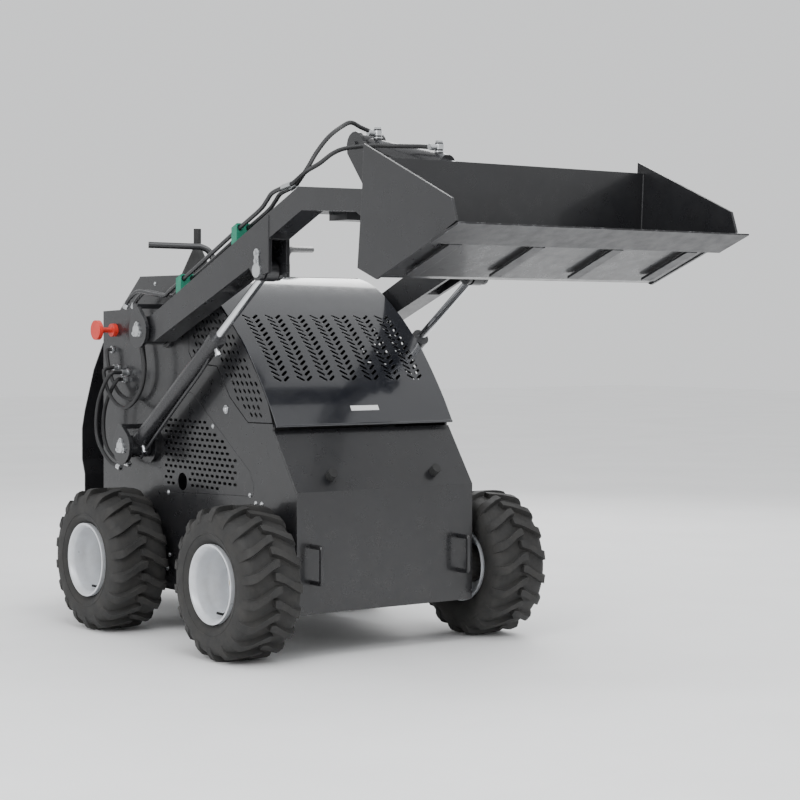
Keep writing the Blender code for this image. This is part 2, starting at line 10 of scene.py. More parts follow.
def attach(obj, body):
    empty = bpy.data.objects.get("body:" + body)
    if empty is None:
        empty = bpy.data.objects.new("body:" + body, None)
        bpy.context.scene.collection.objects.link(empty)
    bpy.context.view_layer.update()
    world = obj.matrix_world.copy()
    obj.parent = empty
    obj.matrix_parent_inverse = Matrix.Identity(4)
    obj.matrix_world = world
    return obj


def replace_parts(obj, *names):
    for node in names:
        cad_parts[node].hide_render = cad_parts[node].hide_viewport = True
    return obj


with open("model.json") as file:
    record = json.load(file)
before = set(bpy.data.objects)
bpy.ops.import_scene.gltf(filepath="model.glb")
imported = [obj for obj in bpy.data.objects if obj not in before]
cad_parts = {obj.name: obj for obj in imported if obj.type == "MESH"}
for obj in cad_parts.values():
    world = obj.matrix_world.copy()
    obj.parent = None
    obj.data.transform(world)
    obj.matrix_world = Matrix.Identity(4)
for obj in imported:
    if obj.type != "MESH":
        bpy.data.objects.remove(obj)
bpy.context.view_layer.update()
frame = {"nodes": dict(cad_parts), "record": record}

S = -0.193
nodes = frame["nodes"]
TAU = math.pi * 2
SIDES = (("R", -1), ("L", 1))


# ---------------------------------------------------------------- materials
def material(name, base, rough, metal=0.0, vary=0.22, scale=9.0, bump=0.25, fine=260.0, dust=0.0, dust_col=(0.21, 0.17, 0.125), low=0.5, coat=0.0, round_=0.0015, wear=0.0, wear_col=(0.33, 0.33, 0.34), streak=0.0):
    m = bpy.data.materials.new(name)
    m.use_nodes = True
    nt = m.node_tree
    N, L = nt.nodes, nt.links
    b = N["Principled BSDF"]
    co = N.new("ShaderNodeTexCoord")
    geo = N.new("ShaderNodeNewGeometry")

    def noise(sc, detail=5, rough_=0.6, stretch=None):
        n = N.new("ShaderNodeTexNoise")
        n.inputs["Scale"].default_value = sc
        n.inputs["Detail"].default_value = detail
        n.inputs["Roughness"].default_value = rough_
        if stretch:
            mp = N.new("ShaderNodeMapping")
            mp.inputs["Scale"].default_value = stretch
            L.new(co.outputs["Object"], mp.inputs["Vector"])
            L.new(mp.outputs["Vector"], n.inputs["Vector"])
        else:
            L.new(co.outputs["Object"], n.inputs["Vector"])
        return n.outputs[0]

    def rng(src, a, b_, c, d):
        r = N.new("ShaderNodeMapRange")
        r.inputs[1].default_value, r.inputs[2].default_value, r.inputs[3].default_value, r.inputs[4].default_value = a, b_, c, d
        L.new(src, r.inputs[0])
        return r.outputs[0]

    def mix(f, a, b_):
        x = N.new("ShaderNodeMix")
        x.data_type = "RGBA"
        if isinstance(f, float):
            x.inputs[0].default_value = f
        else:
            L.new(f, x.inputs[0])
        for v, sck in ((a, x.inputs[6]), (b_, x.inputs[7])):
            if isinstance(v, tuple):
                sck.default_value = (*v, 1)
            else:
                L.new(v, sck)
        return x.outputs[2]

    def maths(op, a, b_):
        x = N.new("ShaderNodeMath")
        x.operation = op
        for v, sck in ((a, x.inputs[0]), (b_, x.inputs[1])):
            if isinstance(v, (int, float)):
                sck.default_value = v
            else:
                L.new(v, sck)
        return x.outputs[0]

    big = noise(scale)
    small = noise(fine, 3, 0.5)
    dark = tuple(c * (1 - vary) for c in base)
    light = tuple(min(1, c * (1 + vary)) for c in base)
    colour = mix(rng(big, 0.3, 0.7, 0, 1), dark, light)
    roughness = rng(noise(scale * 2.7, 6, 0.65), 0.3, 0.7, max(0.03, rough - 0.07), min(1, rough + 0.09))
    normal = None
    if round_:
        bev = N.new("ShaderNodeBevel")
        bev.samples = 4
        bev.inputs["Radius"].default_value = round_
        normal = bev.outputs[0]
    if wear and round_:
        bw = N.new("ShaderNodeBevel")
        bw.samples = 4
        bw.inputs["Radius"].default_value = 0.003
        dot = N.new("ShaderNodeVectorMath")
        dot.operation = "DOT_PRODUCT"
        L.new(bw.outputs[0], dot.inputs[0])
        L.new(geo.outputs["True Normal"], dot.inputs[1])
        edge = rng(dot.outputs["Value"], 0.97, 0.80, 0, 1)
        f = maths("MULTIPLY", edge, rng(noise(38, 6, 0.7), 0.5, 0.62, 0, wear))
        colour = mix(f, colour, wear_col)
    if streak:
        f = rng(noise(14, 8, 0.75, (1, 1, 0.12)), 0.55, 0.72, 0, streak)
        colour = mix(f, colour, dust_col)
    if dust:
        sep = N.new("ShaderNodeSeparateXYZ")
        L.new(co.outputs["Object"], sep.inputs[0])
        height = rng(sep.outputs["Z"], low, 0.0, 0.25, 1.0)
        f = maths("MULTIPLY", rng(noise(22, 8, 0.72), 0.40, 0.68, 0, dust), height)
        colour = mix(f, colour, dust_col)
        roughness = maths("ADD", roughness, maths("MULTIPLY", f, 0.3))
    if bump:
        bp = N.new("ShaderNodeBump")
        bp.inputs["Strength"].default_value = bump
        bp.inputs["Distance"].default_value = 0.0006
        L.new(small, bp.inputs["Height"])
        if normal is not None:
            L.new(normal, bp.inputs["Normal"])
        normal = bp.outputs[0]
    L.new(colour, b.inputs["Base Color"])
    L.new(roughness, b.inputs["Roughness"])
    b.inputs["Metallic"].default_value = metal
    b.inputs["Coat Weight"].default_value = coat
    b.inputs["Coat Roughness"].default_value = 0.08
    if normal is not None:
        L.new(normal, b.inputs["Normal"])
    return m


M = {
    "paint": material("paint_charcoal", (0.0115, 0.0118, 0.0135), 0.30, vary=0.14, bump=0.10, dust=0.035, low=0.7, wear=0.22, streak=0.008, coat=0.25),
    "hood": material("hood_gloss", (0.012, 0.013, 0.017), 0.16, vary=0.08, bump=0.03, coat=0.8, fine=120, dust=0.01),
    "tyre": material("tyre_rubber", (0.017, 0.0168, 0.0165), 0.72, vary=0.22, bump=0.5, fine=420, dust=0.15, low=1.4, dust_col=(0.11, 0.098, 0.082), round_=0.002),
    "rim": material("rim_silver", (0.62, 0.64, 0.67), 0.32, metal=0.25, vary=0.07, bump=0.12, dust=0.22, low=0.8, dust_col=(0.30, 0.27, 0.22)),
    "zinc": material("zinc_plate", (0.55, 0.56, 0.57), 0.30, metal=0.95, vary=0.12, bump=0.15, round_=0.0006),
    "brass": material("cap_brass", (0.46, 0.34, 0.15), 0.42, metal=0.8, vary=0.2, bump=0.2, dust=0.3, round_=0.001),
    "chrome": material("rod_chrome", (0.72, 0.73, 0.75), 0.10, metal=1.0, vary=0.05, bump=0.02, round_=0.0),
    "rubber": material("rubber_black", (0.016, 0.016, 0.016), 0.70, vary=0.2, bump=0.4, fine=500),
    "switch_red": material("switch_red", (0.60, 0.035, 0.022), 0.36, vary=0.12, bump=0.1),
    "clamp_green": material("clamp_green", (0.012, 0.185, 0.115), 0.46, vary=0.12, bump=0.2),
    "iron": material("iron_cast", (0.055, 0.055, 0.055), 0.62, metal=0.3, vary=0.3, bump=0.6, dust=0.35),
    "tank_steel": material("tank_black", (0.035, 0.035, 0.038), 0.45, vary=0.2, bump=0.2),
    "edge_steel": material("edge_steel", (0.022, 0.022, 0.024), 0.36, metal=0.3, vary=0.25, bump=0.30, wear=0.7, streak=0.02),
    "hose": material("hose_rubber", (0.014, 0.014, 0.015), 0.55, vary=0.15, bump=0.3, fine=600, round_=0.0),
    "pipe": material("pipe_black", (0.022, 0.022, 0.024), 0.26, vary=0.15, bump=0.05, round_=0.0),
    "weld": material("weld_bead", (0.022, 0.022, 0.024), 0.40, vary=0.2, bump=0.9, fine=180, round_=0.0),
    "label": material("label_blank", (0.72, 0.72, 0.71), 0.40, vary=0.04, bump=0.04, round_=0.0),
    # hole: near-black painted shade standing in for the shadow inside holes
    "hole": material("hole_painted_shade", (0.006, 0.006, 0.006), 0.9, vary=0.1, bump=0.0, round_=0.0),
    "floor": material("floor_pale", (0.90, 0.90, 0.90), 0.65, vary=0.03, scale=1.4, bump=0.05, round_=0.0),
}
for row in frame["record"]["subparts"]:
    mesh = nodes[row["node"]].data
    mesh.materials.clear()
    mesh.materials.append(M[row["material_slot"]])


# ---------------------------------------------------------------- shapes
def put(name, bm, mat, body, smooth=35):
    bmesh.ops.recalc_face_normals(bm, faces=bm.faces[:])
    mesh = bpy.data.meshes.new(name)
    bm.to_mesh(mesh)
    bm.free()
    obj = bpy.data.objects.new(name, mesh)
    bpy.context.scene.collection.objects.link(obj)
    if mat:
        mesh.materials.append(M[mat])
    if smooth:
        mesh.shade_smooth()
        mesh.set_sharp_from_angle(angle=math.radians(smooth))
    if body:
        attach(obj, body)
    return obj


def lathe(bm, profile, centre, side=1, steps=96, axis="X"):
    """A closed (radius, across) outline turned about X through centre (x, y, z)."""
    rings = []
    for k in range(steps):
        a = TAU * k / steps
        rings.append([bm.verts.new((centre[0] + side * t, centre[1] + r * math.cos(a), centre[2] + r * math.sin(a))) for r, t in profile])
    n = len(profile)
    for k in range(steps):
        p, q = rings[k], rings[(k + 1) % steps]
        for i in range(n):
            j = (i + 1) % n
            bm.faces.new((p[i], p[j], q[j], q[i]))


def cyl(bm, a, b, r, n=32, r2=None):
    a, b = Vector(a), Vector(b)
    made = bmesh.ops.create_cone(bm, cap_ends=True, segments=n, radius1=r, radius2=r if r2 is None else r2, depth=(b - a).length)["verts"]
    turn = (b - a).to_track_quat("Z", "Y").to_matrix().to_4x4()
    bmesh.ops.transform(bm, matrix=Matrix.Translation((a + b) / 2) @ turn, verts=made)


def slab(bm, outline, x0, x1):
    """A (y, z) outline pushed along X."""
    near = [bm.verts.new((x0, y + S, z)) for y, z in outline]
    far = [bm.verts.new((x1, y + S, z)) for y, z in outline]
    bm.faces.new(near)
    bm.faces.new(far[::-1])
    for i in range(len(outline)):
        j = (i + 1) % len(outline)
        bm.faces.new((near[j], near[i], far[i], far[j]))


def curve(points, n=4):
    out = []
    d = len(points[0])
    for i in range(len(points) - 1):
        p = [points[max(i - 1, 0)], points[i], points[i + 1], points[min(i + 2, len(points) - 1)]]
        for k in range(n):
            t = k / n
            out.append(tuple(0.5 * (2 * p[1][a] + (p[2][a] - p[0][a]) * t + (2 * p[0][a] - 5 * p[1][a] + 4 * p[2][a] - p[3][a]) * t * t + (3 * p[1][a] - p[0][a] - 3 * p[2][a] + p[3][a]) * t ** 3) for a in range(d)))
    out.append(tuple(points[-1]))
    return out


def tube(name, points, r, mat, body, n=16, replaces=(), squash=None, cap=True):
    """A round tube along points (x, y, z) given in the axle frame; r may be a function of the point's index."""
    bm = bmesh.new()
    pts = [Vector((x, y + S, z)) for x, y, z in points]
    up = None
    rings = []
    for i, p in enumerate(pts):
        d = (pts[min(i + 1, len(pts) - 1)] - pts[max(i - 1, 0)]).normalized()
        if up is None:
            up = Vector((0, 0, 1)) if abs(d.z) < 0.9 else Vector((0, 1, 0))
        u = (up - d * up.dot(d)).normalized()
        up = u
        w = d.cross(u)
        rad = r(i) if callable(r) else r
        rings.append([bm.verts.new(p + (u * math.cos(TAU * k / n) + w * math.sin(TAU * k / n)) * rad) for k in range(n)])
    for p, q in zip(rings, rings[1:]):
        for k in range(n):
            j = (k + 1) % n
            bm.faces.new((p[k], p[j], q[j], q[k]))
    bm.faces.new(rings[0])
    bm.faces.new(rings[-1])
    obj = put(name, bm, mat, body, 50)
    if replaces:
        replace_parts(obj, *replaces)
    return obj


def boolean(obj, cutter):
    mod = obj.modifiers.new("cut", "BOOLEAN")
    mod.solver = "EXACT"
    mod.operation = "DIFFERENCE"
    mod.object = cutter
    bpy.context.view_layer.update()
    mesh = bpy.data.meshes.new_from_object(obj.evaluated_get(bpy.context.evaluated_depsgraph_get()))
    obj.modifiers.clear()
    obj.data = mesh
    bpy.data.objects.remove(cutter)
    mesh.set_sharp_from_angle(angle=math.radians(35))


def oblong(length, width, n=5):
    """The outline of a slot with round ends, centred, long way along the first axis."""
    h, r = length / 2 - width / 2, width / 2
    return [(h + r * math.cos(a), r * math.sin(a)) for a in (math.pi * (k / n - 0.5) for k in range(n + 1))] + [(-h + r * math.cos(a), r * math.sin(a)) for a in (math.pi * (k / n + 0.5) for k in range(n + 1))]


def punch(bm, origin, e1, e2, en, outline, depth):
    a = [bm.verts.new(origin + e1 * p + e2 * q - en * depth) for p, q in outline]
    b = [bm.verts.new(origin + e1 * p + e2 * q + en * depth) for p, q in outline]
    bm.faces.new(a)
    bm.faces.new(b[::-1])
    for i in range(len(a)):
        j = (i + 1) % len(a)
        bm.faces.new((a[j], a[i], b[i], b[j]))


def dome(bm, at, direction, r, h, n=20):
    """A domed bolt head on a thin washer."""
    d = Vector(direction).normalized()
    at = Vector((at[0], at[1] + S, at[2]))
    cyl(bm, at, at + d * h * 0.25, r * 1.35, n)
    cyl(bm, at + d * h * 0.2, at + d * h * 0.6, r, n, r * 0.97)
    cyl(bm, at + d * h * 0.58, at + d * h, r * 0.97, n, r * 0.55)


# ---------------------------------------------------------------- wheels
RIM = [(0.1183, 0.0953), (0.1183, 0.0815), (0.1065, 0.0755), (0.1065, 0.030), (0.094, 0.010), (0.094, -0.030), (0.1065, -0.050), (0.1065, -0.0755), (0.1183, -0.0815), (0.1183, -0.0898), (0.1120, -0.0903), (0.1025, -0.0790), (0.1020, -0.052), (0.090, -0.034),
       (0.030, -0.034), (0.030, -0.026), (0.060, -0.026), (0.066, -0.0235), (0.074, -0.0235), (0.082, -0.0262), (0.0875, -0.022), (0.090, 0.010), (0.0995, 0.032), (0.1018, 0.045), (0.1020, 0.0770), (0.1040, 0.0830), (0.1090, 0.0925), (0.1120, 0.0953)]
CARCASS = [(0.1195, -0.080), (0.126, -0.087), (0.140, -0.0955), (0.158, -0.0990), (0.176, -0.0990), (0.194, -0.0945), (0.205, -0.0870), (0.2105, -0.072), (0.2125, -0.045), (0.2130, 0.0), (0.2125, 0.045), (0.2105, 0.072), (0.205, 0.0870), (0.194, 0.0945),
           (0.176, 0.0990), (0.158, 0.0990), (0.1515, 0.0986), (0.1505, 0.0997), (0.1485, 0.0997), (0.1475, 0.0975), (0.140, 0.0955), (0.126, 0.087), (0.1195, 0.080), (0.107, 0.074), (0.107, -0.074)]
LUGS = 18


def lug(bm, centre, side, half, a0):
    """One tread bar from the middle of the tread over the shoulder: sections along the bar, four corners each."""
    # across, turn, half width (m), top radius
    bar = ((-0.010, 0.000, 0.0105, 0.2284), (0.004, 0.010, 0.0125, 0.2284), (0.022, 0.050, 0.0110, 0.2284), (0.046, 0.115, 0.0110, 0.2282), (0.068, 0.165, 0.0120, 0.2275), (0.081, 0.185, 0.0130, 0.2240), (0.0915, 0.192, 0.0128, 0.2110), (0.0975, 0.196, 0.0120, 0.1960), (0.0985, 0.198, 0.0105, 0.1850))
    rows = []
    for t, turn, w, top in bar:
        a = a0 + turn
        flat = 1.0 if t < 0.085 else 0.25
        low = max(top - 0.020, 0.176)
        row = []
        for r, ww in ((low, w * 1.18), (top, w), (top, -w), (low, -w * 1.18)):
            tt = t if r == top else t - (0.012 if t > 0.085 else 0)
            ang = a + ww / r
            row.append(bm.verts.new((centre[0] + side * half * tt, centre[1] - r * math.sin(ang), centre[2] + r * math.cos(ang))))
        rows.append(row)
    for p, q in zip(rows, rows[1:]):
        for i in range(4):
            j = (i + 1) % 4
            bm.faces.new((p[i], p[j], q[j], q[i]))
    bm.faces.new(rows[0])
    bm.faces.new(rows[-1])


WHEELS = (("FR", -1, 0.0, "wheel_front_right"), ("FL", 1, 0.0, "wheel_front_left"), ("RR", -1, 0.774, "wheel_rear_right"), ("RL", 1, 0.774, "wheel_rear_left"))
for tag, side, y, body in WHEELS:
    c = Vector((side * 0.4605, y + S, 0.2285))
    bm = bmesh.new()
    lathe(bm, CARCASS, c, side)
    for half in (-1, 1):
        for i in range(LUGS):
            lug(bm, c, side, half, TAU * (i + (0.5 if half > 0 else 0)) / LUGS)
    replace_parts(put(f"tyre_tread_{tag}", bm, "tyre", body, 40), f"tyre_{tag}")
    bm = bmesh.new()
    lathe(bm, RIM, c, side)
    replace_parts(put(f"rim_dish_{tag}", bm, "rim", body, 30), f"rim_{tag}")
    bm = bmesh.new()
    lathe(bm, [(0.0, 0.0225), (0.010, 0.0215), (0.020, 0.017), (0.0235, 0.011), (0.0235, 0.002), (0.0, 0.002)], c, side, 32)
    put(f"hub_cap_{tag}", bm, "brass", body)
    bm = bmesh.new()
    for k in range(5):
        a = TAU * k / 5 + 0.3
        at = c + Vector((side * -0.0262, 0.050 * math.cos(a), 0.050 * math.sin(a)))
        cyl(bm, at, at + Vector((side * 0.004, 0, 0)), 0.0125, 24)
        cyl(bm, at, at + Vector((side * 0.016, 0, 0)), 0.0105, 6, 0.0098)
        cyl(bm, at, at + Vector((side * 0.022, 0, 0)), 0.0055, 16)
    put(f"wheel_nuts_{tag}", bm, "zinc", body)
    bm = bmesh.new()
    at = c + Vector((side * 0.028, 0.014, -0.0975))
    cyl(bm, at, at + Vector((side * 0.010, 0, 0.004)), 0.0075, 16, 0.006)
    cyl(bm, at, at + Vector((side * 0.034, 0, 0.010)), 0.0038, 14)
    put(f"valve_{tag}", bm, "rubber", body)

# ---------------------------------------------------------------- hood with its stamped slots
HOOD = [(-0.014, 0.683), (0.032, 0.757), (0.084, 0.829), (0.137, 0.895), (0.193, 0.953), (0.250, 1.005), (0.310, 1.052), (0.370, 1.093), (0.435, 1.125), (0.500, 1.143)]
top = curve(HOOD, 5)
under = []
for i, (y, z) in enumerate(top):
    a, b = top[max(i - 1, 0)], top[min(i + 1, len(top) - 1)]
    d = Vector((b[0] - a[0], b[1] - a[1])).normalized()
    under.append((y + d.y * 0.003, z - d.x * 0.003))
bm = bmesh.new()
slab(bm, top + under[::-1], -0.331, 0.331)
hood = put("hood_sheet", bm, "hood", "hood", 30)
bm = bmesh.new()
arcs = [0.0]
for a, b in zip(top, top[1:]):
    arcs.append(arcs[-1] + math.hypot(b[0] - a[0], b[1] - a[1]))


def on_hood(s):
    i = max(k for k in range(len(arcs) - 1) if arcs[k] <= s)
    f = (s - arcs[i]) / (arcs[i + 1] - arcs[i])
    a, b = top[i], top[i + 1]
    d = Vector((0, b[0] - a[0], b[1] - a[1])).normalized()
    return Vector((0, a[0] + (b[0] - a[0]) * f + S, a[1] + (b[1] - a[1]) * f)), d, Vector((0, -d.z, d.y))


for i in range(7):
    for row in range(14):
        p, d, nrm = on_hood(0.170 + row * 0.0200)
        for half in (-1, 1):
            e1 = (Vector((half, 0, 0)) * 0.80 + d * 0.60).normalized()
            punch(bm, p + Vector((-0.252 + 0.084 * i + half * 0.0165, 0, 0)), e1, nrm.cross(e1), nrm, oblong(0.0300, 0.0085, 4), 0.008)
cutter = put("slots", bm, None, None, 0)
boolean(hood, cutter)
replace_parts(hood, "hood")
tube("hood_lip", [(x, HOOD[0][0] + 0.0035, HOOD[0][1] + 0.0022) for x in (-0.3305, -0.1, 0.1, 0.3305)], 0.0042, "hood", "hood")
bm = bmesh.new()
p, d, nrm = on_hood(0.058)
punch(bm, p + Vector((0.010, 0, 0)) + nrm * 0.0006, Vector((1, 0, 0)), d, nrm, [(-0.052, -0.0085), (0.052, -0.0085), (0.052, 0.0085), (-0.052, 0.0085)], 0.0006)
put("label_plate", bm, "label", "hood", 0)

# ---------------------------------------------------------------- side doors and vent panels
DOOR = [(0.665, 0.446), (0.122, 0.468), (0.118, 0.503), (0.143, 0.544), (0.483, 0.771), (0.625, 0.771), (0.665, 0.735)]
under_line = [(y + 0.0, z) for y, z in HOOD]
VENT = [(0.016, 0.6945), (0.151, 0.692), (0.253, 0.765), (0.330, 0.860), (0.470, 0.868), (0.500, 0.900), (0.500, 1.132)]
EX, EY, EZ = Vector((1, 0, 0)), Vector((0, 1, 0)), Vector((0, 0, 1))


def inside(poly, y, z, margin):
    hit = False
    near = 9
    for i in range(len(poly)):
        (a, b), (c, d) = poly[i - 1], poly[i]
        if (b > z) != (d > z) and y < (c - a) * (z - b) / (d - b) + a:
            hit = not hit
        ll = (c - a) ** 2 + (d - b) ** 2
        t = max(0, min(1, ((y - a) * (c - a) + (z - b) * (d - b)) / ll))
        near = min(near, math.hypot(y - a - t * (c - a), z - b - t * (d - b)))
    return hit and near > margin


hood_under = []
for i, (y, z) in enumerate(HOOD):
    a, b = HOOD[max(i - 1, 0)], HOOD[min(i + 1, len(HOOD) - 1)]
    d = Vector((b[0] - a[0], b[1] - a[1])).normalized()
    hood_under.append((y + d.y * 0.0085, z - d.x * 0.0085))
VENT += [p for p in hood_under if 0.03 < p[0] < 0.490][::-1]
for tag, side in SIDES:
    x0, x1 = sorted((side * 0.326, side * 0.329))
    bm = bmesh.new()
    slab(bm, DOOR, x0, x1)
    door = put(f"door_skin_{tag}", bm, "paint", "chassis", 0)
    bm = bmesh.new()
    for row in range(13):
        z = 0.459 + row * 0.0185
        for col in range(15):
            y = 0.225 + col * 0.030 + (0.015 if row % 2 else 0)
            if inside(DOOR, y, z, 0.017) and math.hypot(y - 0.542, z - 0.486) > 0.048 and math.hypot(y - 0.355, z - 0.671) > 0.02 and y < 0.652:
                punch(bm, Vector((side * 0.3275, y + S, z)), EY, EZ, EX, oblong(0.0200, 0.0088, 4), 0.006)
    punch(bm, Vector((side * 0.3275, 0.542 + S, 0.486)), EY, EZ, EX, [(0.0285 * math.cos(TAU * k / 32), 0.0285 * math.sin(TAU * k / 32)) for k in range(32)], 0.006)
    boolean(door, put("slots", bm, None, None, 0))
    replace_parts(door, f"side_door_{tag}")
    bm = bmesh.new()
    slab(bm, VENT, x0, x1)
    vent = put(f"vent_skin_{tag}", bm, "paint", "chassis", 0)
    bm = bmesh.new()
    lean = Vector((0, 0.80, 0.60))
    for row in range(17):
        for col in range(20):
            y = 0.080 + col * 0.026 + (0.013 if row % 2 else 0)
            z = 0.715 + row * 0.0235
            if inside(VENT, y, z, 0.021):
                punch(bm, Vector((side * 0.3275, y + S, z)), lean, EX.cross(lean), EX, oblong(0.0200, 0.0085, 4), 0.006)
    boolean(vent, put("slots", bm, None, None, 0))
    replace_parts(vent, f"vent_panel_{tag}")
    bm = bmesh.new()
    for y, z, r in ((0.277, 0.726, 0.010), (0.355, 0.671, 0.0055), (0.139, 0.470, 0.0055), (0.105, 0.447, 0.006), (0.072, 0.447, 0.006), (0.630, 0.446, 0.006), (0.623, 0.244, 0.006), (0.637, 0.199, 0.006), (0.716, 1.120, 0.005), (0.560, 1.110, 0.005)):
        dome(bm, (side * 0.3291, y, z), (side, 0, 0), r, r * 0.8)
    put(f"body_bolts_{tag}", bm, "zinc", "chassis")

# ---------------------------------------------------------------- cylinders
PIVOT, LIFT_BASE, LIFT_TOP, ARM_X = (0.632, 0.968), (0.740, 0.591), (-0.050, 1.146), 0.3875
TILT_BASE, TILT_TIP, COUPLER = (-0.005, 1.535), (-0.600, 1.4141), (-0.615, 1.250)


def along(base, tip, d, x):
    ll = math.hypot(tip[0] - base[0], tip[1] - base[1])
    return (x, base[0] + (tip[0] - base[0]) / ll * d + S, base[1] + (tip[1] - base[1]) / ll * d)


lift_len = math.hypot(LIFT_TOP[0] - LIFT_BASE[0], LIFT_TOP[1] - LIFT_BASE[1])
tilt_len = math.hypot(TILT_TIP[0] - TILT_BASE[0], TILT_TIP[1] - TILT_BASE[1])
for tag, side, word in (("R", -1, "right"), ("L", 1, "left")):
    x = side * ARM_X
    bm = bmesh.new()
    cyl(bm, along(LIFT_BASE, LIFT_TOP, 0.028, x), along(LIFT_BASE, LIFT_TOP, 0.590, x), 0.0260, 64)
    cyl(bm, along(LIFT_BASE, LIFT_TOP, 0.586, x), along(LIFT_BASE, LIFT_TOP, 0.624, x), 0.0285, 64)
    cyl(bm, along(LIFT_BASE, LIFT_TOP, 0.044, x), along(LIFT_BASE, LIFT_TOP, 0.060, x), 0.0275, 64)
    cyl(bm, (x - 0.0355, LIFT_BASE[0] + S, LIFT_BASE[1]), (x + 0.0355, LIFT_BASE[0] + S, LIFT_BASE[1]), 0.0360, 48)
    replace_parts(put(f"lift_tube_{tag}", bm, "pipe", f"lift_barrel_{word}"), f"lift_barrel_{tag}")
    bm = bmesh.new()
    cyl(bm, along(LIFT_BASE, LIFT_TOP, 0.40, x), along(LIFT_BASE, LIFT_TOP, lift_len - 0.020, x), 0.0130, 48)
    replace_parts(put(f"lift_shaft_{tag}", bm, "chrome", f"lift_rod_{word}"), f"lift_rod_{tag}")
    bm = bmesh.new()
    cyl(bm, (x - 0.020, LIFT_TOP[0] + S, LIFT_TOP[1]), (x + 0.020, LIFT_TOP[0] + S, LIFT_TOP[1]), 0.0320, 48)
    put(f"lift_shaft_eye_{tag}", bm, "paint", f"lift_rod_{word}")
    bm = bmesh.new()
    for d in (0.045, 0.600):
        a = Vector(along(LIFT_BASE, LIFT_TOP, d, x)) + Vector((0, -0.010, -0.020))
        cyl(bm, a, a + Vector((0, -0.012, -0.020)), 0.0085, 24)
        cyl(bm, a + Vector((0, -0.010, -0.016)), a + Vector((0, -0.015, -0.024)), 0.0105, 6)
    put(f"lift_ports_{tag}", bm, "zinc", f"lift_barrel_{word}")
    tube(f"lift_pipe_{tag}", curve([(x, 0.707, 0.556), (x, 0.661, 0.592), (x, 0.584, 0.651), (x, 0.458, 0.746), (x, 0.336, 0.836), (x, 0.285, 0.880), (x, 0.277, 0.900)], 5), 0.0055, "pipe", f"lift_barrel_{word}")
bm = bmesh.new()
cyl(bm, along(TILT_BASE, TILT_TIP, 0.028, 0), along(TILT_BASE, TILT_TIP, 0.385, 0), 0.0275, 64)
cyl(bm, along(TILT_BASE, TILT_TIP, 0.380, 0), along(TILT_BASE, TILT_TIP, 0.4100, 0), 0.0290, 64)
cyl(bm, (-0.0275, TILT_BASE[0] + S, TILT_BASE[1]), (0.0275, TILT_BASE[0] + S, TILT_BASE[1]), 0.0340, 48)
for d in (0.058, 0.370):
    a = Vector(along(TILT_BASE, TILT_TIP, d, 0))
    cyl(bm, a, a + Vector((0, 0, 0.058)), 0.0120, 32)
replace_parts(put("tilt_tube", bm, "pipe", "tilt_barrel"), "tilt_barrel")
bm = bmesh.new()
for d in (0.058, 0.370):
    a = Vector(along(TILT_BASE, TILT_TIP, d, 0))
    cyl(bm, a + Vector((0, 0, 0.030)), a + Vector((0, 0, 0.034)), 0.0135, 32)
    cyl(bm, a + Vector((0, 0, 0.0385)), a + Vector((0, 0, 0.0535)), 0.0138, 32)
    cyl(bm, a + Vector((0, 0, 0.0535)), a + Vector((0, 0, 0.0640)), 0.0105, 6)
    cyl(bm, a + Vector((-0.012, 0, 0.045)), a + Vector((-0.036, 0, 0.045)), 0.0088, 24)
put("tilt_banjos", bm, "zinc", "tilt_barrel")
bm = bmesh.new()
cyl(bm, along(TILT_BASE, TILT_TIP, 0.215, 0), along(TILT_BASE, TILT_TIP, tilt_len - 0.020, 0), 0.0150, 48)
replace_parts(put("tilt_shaft", bm, "chrome", "tilt_rod"), "tilt_rod")
bm = bmesh.new()
cyl(bm, (-0.0225, TILT_TIP[0] + S, TILT_TIP[1]), (0.0225, TILT_TIP[0] + S, TILT_TIP[1]), 0.0280, 48)
put("tilt_shaft_eye", bm, "paint", "tilt_rod")

# ---------------------------------------------------------------- pin caps and plates
for tag, side in SIDES:
    bm = bmesh.new()
    for (y, z), x in ((PIVOT, 0.442), (LIFT_BASE, 0.442)):
        cyl(bm, (side * x, y + S, z), (side * (x + 0.0065), y + S, z), 0.0200, 40)
        for k in range(3):
            a = TAU * k / 3 + math.pi / 2
            cyl(bm, (side * x, y + 0.019 * math.cos(a) + S, z + 0.019 * math.sin(a)), (side * (x + 0.0045), y + 0.019 * math.cos(a) + S, z + 0.019 * math.sin(a)), 0.0100, 24)
            cyl(bm, (side * (x + 0.004), y + 0.019 * math.cos(a) + S, z + 0.019 * math.sin(a)), (side * (x + 0.0095), y + 0.019 * math.cos(a) + S, z + 0.019 * math.sin(a)), 0.0052, 6)
    put(f"pin_caps_{tag}", bm, "zinc", "chassis")
    bm = bmesh.new()
    y, z = LIFT_TOP
    cyl(bm, (side * 0.4245, y + S, z), (side * 0.4295, y + S, z), 0.0210, 40)
    cyl(bm, (side * 0.4245, y + S, z + 0.050), (side * 0.4285, y + S, z + 0.050), 0.0140, 32)
    slab(bm, [(y - 0.014, z), (y + 0.014, z), (y + 0.010, z + 0.050), (y - 0.010, z + 0.050)], side * 0.4246, side * 0.4284)
    for dz in (0.028, 0.052):
        cyl(bm, (side * 0.4282, y + S, z + dz), (side * 0.4340, y + S, z + dz), 0.0065, 6)
    y, z = COUPLER
    cyl(bm, (side * 0.4286, y + S, z), (side * 0.4330, y + S, z), 0.0185, 40)
    put(f"arm_pin_plates_{tag}", bm, "zinc", "loader_arm")

